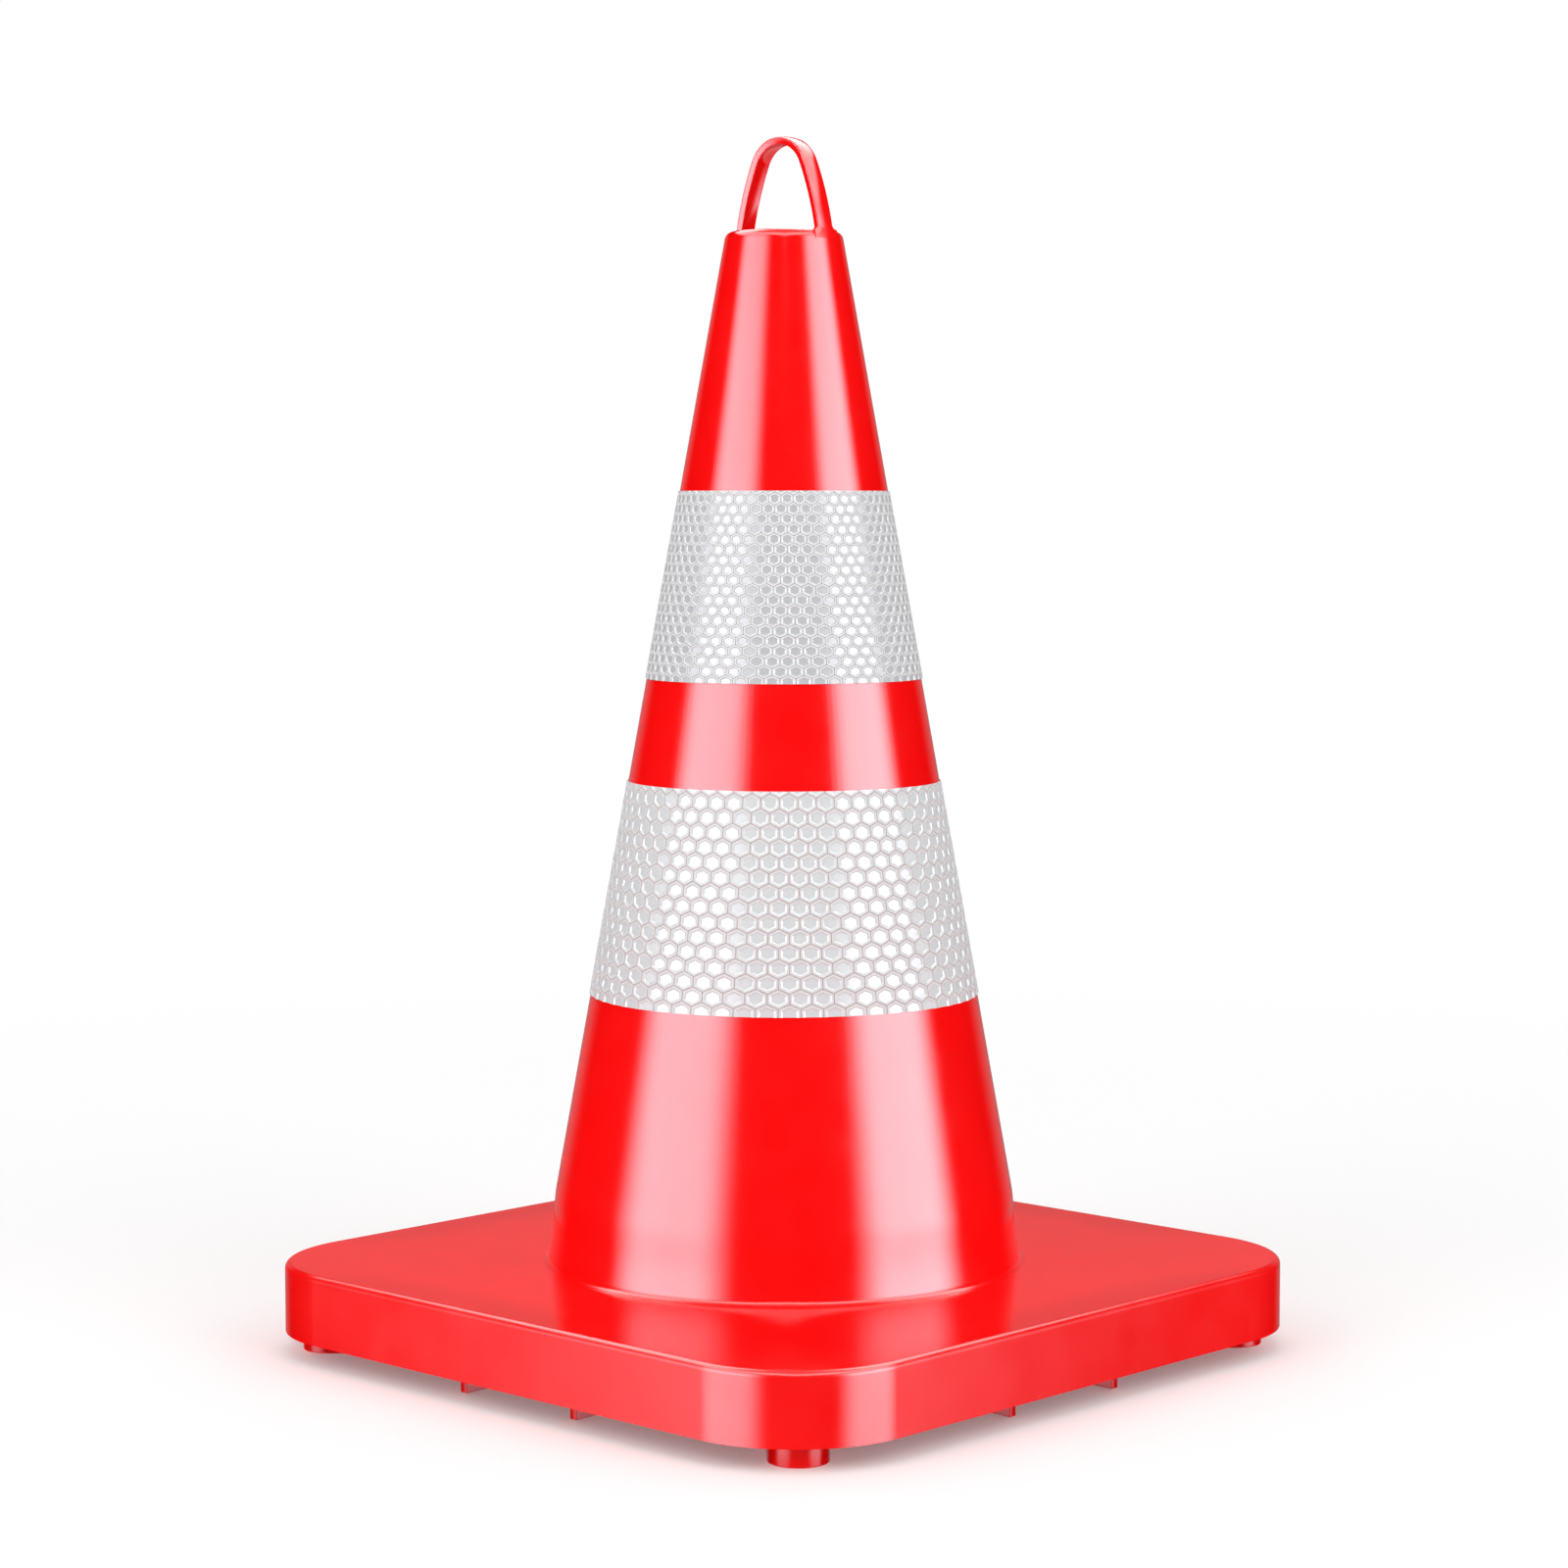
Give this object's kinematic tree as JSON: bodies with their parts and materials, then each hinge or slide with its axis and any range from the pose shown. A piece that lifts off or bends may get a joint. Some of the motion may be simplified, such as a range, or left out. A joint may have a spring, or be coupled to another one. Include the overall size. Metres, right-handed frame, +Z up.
{
  "type": "traffic cone",
  "caption": "Hollow tapered traffic cone on a square skirted base, with reflective sleeves and a lifting loop on its open top.",
  "frame": {"origin": "on the floor, at the middle of the square base and under the cone's axis", "axes": "+Z up along the cone's axis; the base's sides run along X and Y; the lifting loop spans X; the sleeves' welded laps are at the back, on +Y"},
  "size_m": [0.36, 0.36, 0.557],
  "materials": {
    "shell_plastic": "glossy moulded signal red",
    "base_plastic": "glossy moulded signal red",
    "reflective_sheet": "silver-white embossed honeycomb sheeting under a clear film"
  },
  "bodies": {
    "root": {"cone_shell": "shell_plastic", "lifting_loop": "shell_plastic", "upper_sleeve": "reflective_sheet", "lower_sleeve": "reflective_sheet", "base_tray": "base_plastic", "underside_ribs": "base_plastic", "corner_feet": "base_plastic"}
  },
  "joints": []
}
